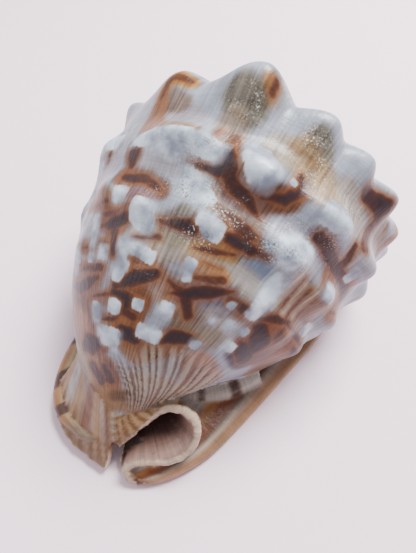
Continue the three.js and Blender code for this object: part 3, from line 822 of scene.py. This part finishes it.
# Noises by their scale in waves for a metre, so 420 has spots of about 2.4 mm, and their detail.
ragged, cloudy, fine, drift, notches, patches, scuffs, milk = (
    add(tree, "ShaderNodeTexNoise", {"Vector": at, "Scale": scale, "Detail": detail}).outputs[0]
    for scale, detail in (
        (420.0, 3.0), (110.0, 3.0), (1600.0, 2.0), (170.0, 2.0),
        (230.0, 2.0), (75.0, 2.0), (260.0, 3.0), (150.0, 3.0)))
lengthwise = add(tree, "ShaderNodeMapping", {
    "Vector": rind.outputs["Vector"], "Scale": (1.1, 0.05, 1.0)}).outputs[0]
crosswise = add(tree, "ShaderNodeMapping", {
    "Vector": rind.outputs["Vector"], "Scale": (0.04, 1.3, 1.0)}).outputs[0]
growth_lines = add(tree, "ShaderNodeTexNoise", {
    "Vector": lengthwise, "Scale": 1.0, "Detail": 4.0}).outputs[0]
spiral_lines = add(tree, "ShaderNodeTexNoise", {
    "Vector": crosswise, "Scale": 1.0, "Detail": 3.0}).outputs[0]

# The edges of streaks and islands wander by about a millimetre.
slow = add(tree, "ShaderNodeMath", {0: drift, 1: 0.7, 2: -0.6}, operation="MULTIPLY_ADD").outputs[0]
wander = add(tree, "ShaderNodeMath", {0: ragged, 1: 0.5, 2: slow}, operation="MULTIPLY_ADD").outputs[0]
stained = add(tree, "ShaderNodeMath", {0: mark.outputs[0], 1: wander}, operation="ADD").outputs[0]
depth = add(tree, "ShaderNodeMath", {
    0: growth_lines, 1: 0.24, 2: stained}, operation="MULTIPLY_ADD").outputs[0]

# The ground colour varies in clouds, along the growth lines and, less, along the spiral.
base = add(tree, "ShaderNodeMath", {0: cloudy, 1: 0.6, 2: 0.28}, operation="MULTIPLY_ADD").outputs[0]
across = add(tree, "ShaderNodeMath", {
    0: spiral_lines, 1: 0.24, 2: base}, operation="MULTIPLY_ADD").outputs[0]
along_growth = add(tree, "ShaderNodeMath", {
    0: growth_lines, 1: 0.6, 2: across}, operation="MULTIPLY_ADD").outputs[0]
swing = add(tree, "ShaderNodeMath", {0: growth_lines, 1: 0.5}, operation="SUBTRACT").outputs[0]
plaid = add(tree, "ShaderNodeMath", {0: swing, 1: mark.outputs[2]}, operation="MULTIPLY").outputs[0]
shade = add(tree, "ShaderNodeMath", {
    0: plaid, 1: 1.4, 2: along_growth}, operation="MULTIPLY_ADD").outputs[0]
clouded = add(tree, "ShaderNodeVectorMath", {
    0: ground.outputs["Color"], "Scale": shade}, operation="SCALE").outputs[0]

# The ribs' grooves are darker than their crests.
turns = add(tree, "ShaderNodeMath", {0: wander, 1: 2.0}, operation="MULTIPLY").outputs[0]
phase = add(tree, "ShaderNodeMath", {
    0: worn.outputs[2], 1: 2 * math.pi, 2: turns}, operation="MULTIPLY_ADD").outputs[0]
wave = add(tree, "ShaderNodeMath", {0: phase}, operation="SINE").outputs[0]
low_share = add(tree, "ShaderNodeMapRange", {"Value": wave, "From Min": 0.6, "From Max": -0.8}).outputs[0]
groove = add(tree, "ShaderNodeMix", {
    0: low_share, 6: linear("#b9b0a4"), 7: linear("#7f6046")}, data_type="RGBA").outputs[2]
rib_share = add(tree, "ShaderNodeMath", {0: worn.outputs[1], 1: 0.66}, operation="MULTIPLY").outputs[0]
fanned = add(tree, "ShaderNodeMix", {0: rib_share, 6: clouded, 7: groove}, data_type="RGBA").outputs[2]

# Streaks are golden brown at the edge and violet brown in the middle.
brown = add(tree, "ShaderNodeValToRGB", {0: depth}, stops=[
    (0.12, "#92694a"), (0.42, "#734d39"), (0.72, "#604540"), (1.0, "#524247")]).outputs[0]
streaked = add(tree, "ShaderNodeMapRange", {"Value": depth, "From Min": -0.5, "From Max": 0.56}).outputs[0]
coloured = add(tree, "ShaderNodeMix", {0: streaked, 6: fanned, 7: brown}, data_type="RGBA").outputs[2]
browned = add(tree, "ShaderNodeMath", {0: mark.outputs[2], 1: streaked}, operation="MAXIMUM").outputs[0]

# Islands are milky white. Their edge is crisp with a golden rim in some patches, blurred in others.
shifted = add(tree, "ShaderNodeMath", {
    0: wander, 1: 0.8, 2: mark.outputs[1]}, operation="MULTIPLY_ADD").outputs[0]
notched = add(tree, "ShaderNodeMath", {0: notches, 1: 1.2, 2: shifted}, operation="MULTIPLY_ADD").outputs[0]
lined = add(tree, "ShaderNodeMath", {
    0: growth_lines, 1: 1.2, 2: notched}, operation="MULTIPLY_ADD").outputs[0]
crisp = add(tree, "ShaderNodeMapRange", {"Value": lined, "From Min": 0.9, "From Max": 1.45}).outputs[0]
blurred = add(tree, "ShaderNodeMapRange", {"Value": lined, "From Min": -0.3, "From Max": 2.4}).outputs[0]
firm = add(tree, "ShaderNodeMapRange", {"Value": patches, "From Min": 0.38, "From Max": 0.55}).outputs[0]
crispness = add(tree, "ShaderNodeMath", {0: firm, 1: browned}, operation="MULTIPLY").outputs[0]
island_share = add(tree, "ShaderNodeMix", {0: crispness, 2: blurred, 3: crisp}).outputs[0]
near_edge = add(tree, "ShaderNodeMapRange", {
    "Value": lined, "From Min": -0.1, "From Max": 0.9, "To Max": 0.55}).outputs[0]
rim = add(tree, "ShaderNodeMath", {0: near_edge, 1: crispness}, operation="MULTIPLY").outputs[0]
rimmed = add(tree, "ShaderNodeMix", {
    0: rim, 6: coloured, 7: linear("#9d6a33")}, data_type="RGBA").outputs[2]
milky = add(tree, "ShaderNodeMapRange", {"Value": milk, "From Min": 0.36, "From Max": 0.6}).outputs[0]
bare = add(tree, "ShaderNodeMix", {
    0: milky, 6: linear("#9ea4b0"), 7: linear("#d0d9e1")}, data_type="RGBA").outputs[2]
coat = add(tree, "ShaderNodeMix", {0: island_share, 6: rimmed, 7: bare}, data_type="RGBA").outputs[2]

# Where the glaze is worn off: white specks of chalk dust that also stand for painted glints, and dark pits,
# about half a millimetre wide.
scuffed = add(tree, "ShaderNodeMapRange", {"Value": scuffs, "From Min": 0.4, "From Max": 0.62}).outputs[0]
chalky = add(tree, "ShaderNodeMath", {0: scuffed, 1: worn.outputs[0]}, operation="MULTIPLY").outputs[0]
# The white specks are partly chalk dust and partly painted glints of sparkle.
dust_and_glint_speckle = add(tree, "ShaderNodeMapRange", {"Value": fine, "From Min": 0.55, "From Max": 0.68}).outputs[0]
pits = add(tree, "ShaderNodeMapRange", {"Value": fine, "From Min": 0.42, "From Max": 0.33}).outputs[0]
dust_and_glint_share = add(tree, "ShaderNodeMath", {0: chalky, 1: dust_and_glint_speckle}, operation="MULTIPLY").outputs[0]
pit_share = add(tree, "ShaderNodeMath", {0: chalky, 1: pits}, operation="MULTIPLY").outputs[0]
dusted_and_glinted = add(tree, "ShaderNodeMix", {
    0: dust_and_glint_share, 6: coat, 7: linear("#dcdcd8")}, data_type="RGBA").outputs[2]
pitted = add(tree, "ShaderNodeMix", {
    0: pit_share, 6: dusted_and_glinted, 7: linear("#6b625a")}, data_type="RGBA").outputs[2]
deep = add(tree, "ShaderNodeGamma", {"Color": pitted, "Gamma": 1.5}).outputs[0]
rich = add(tree, "ShaderNodeHueSaturation", {"Color": deep, "Saturation": 0.98, "Value": 0.93}).outputs[0]
roughness = add(tree, "ShaderNodeMapRange", {"Value": chalky, "To Min": 0.33, "To Max": 0.75}).outputs[0]
tree.links.new(rich, surface.inputs["Base Color"])
tree.links.new(roughness, surface.inputs["Roughness"])
surface.inputs["Specular IOR Level"].default_value = 0.3

# Fine relief: growth lines, faint spiral lines and grain, under 0.8 mm high.
grain = add(tree, "ShaderNodeMath", {0: fine, 1: 0.12}, operation="MULTIPLY").outputs[0]
rough = add(tree, "ShaderNodeMath", {0: ragged, 1: 0.4, 2: grain}, operation="MULTIPLY_ADD").outputs[0]
cross_lines = add(tree, "ShaderNodeMath", {
    0: spiral_lines, 1: 0.1, 2: rough}, operation="MULTIPLY_ADD").outputs[0]
relief = add(tree, "ShaderNodeMath", {
    0: growth_lines, 1: 0.35, 2: cross_lines}, operation="MULTIPLY_ADD").outputs[0]
bump = add(tree, "ShaderNodeBump", {"Height": relief, "Strength": 0.5, "Distance": 0.0008}).outputs[0]
tree.links.new(bump, surface.inputs["Normal"])



# Light
# A large soft window behind and above, a weak fill from the viewer's left, and an even pale room.

world = bpy.data.worlds.new("room")
bpy.context.scene.world = world
world.use_nodes = True
world.node_tree.nodes["Background"].inputs["Color"].default_value = linear("#e9e6ee")
world.node_tree.nodes["Background"].inputs["Strength"].default_value = 0.74
lamps = (("window", (0.1, 0.45, 0.75), 0.4, 27.0), ("fill", (-0.6, -0.3, 0.5), 0.6, 3.0))
for name, place, size, power in lamps:
    bpy.ops.object.light_add(type="AREA", location=place)
    lamp = bpy.context.object
    lamp.name = name
    lamp.data.size, lamp.data.energy = size, power
    lamp.rotation_euler = (Vector((0, 0, 0.04)) - lamp.location).to_track_quat("-Z", "Y").to_euler()


# Camera
# Held close above the siphon end, a little to its right, as the photograph was taken.

bpy.ops.object.camera_add()
camera = bpy.context.object
azimuth, elevation, roll = math.radians(34.4), math.radians(54.2), math.radians(-1.8)
back = Vector((
    math.sin(azimuth) * math.cos(elevation), -math.cos(azimuth) * math.cos(elevation), math.sin(elevation)))
right = (-back).cross(Vector((0, 0, 1))).normalized()
above = right.cross(-back)
turned_right = right * math.cos(roll) + above * math.sin(roll)
turned_up = above * math.cos(roll) - right * math.sin(roll)
camera.matrix_world = Matrix.Translation(Vector((0.00974, -0.00134, 0.040)) + back * 0.1718) @ Matrix(
    (turned_right, turned_up, back)).transposed().to_4x4()
camera.data.lens = 18 / math.tan(math.radians(59.6 / 2))
camera.data.clip_start = 0.005
bpy.context.scene.camera = camera
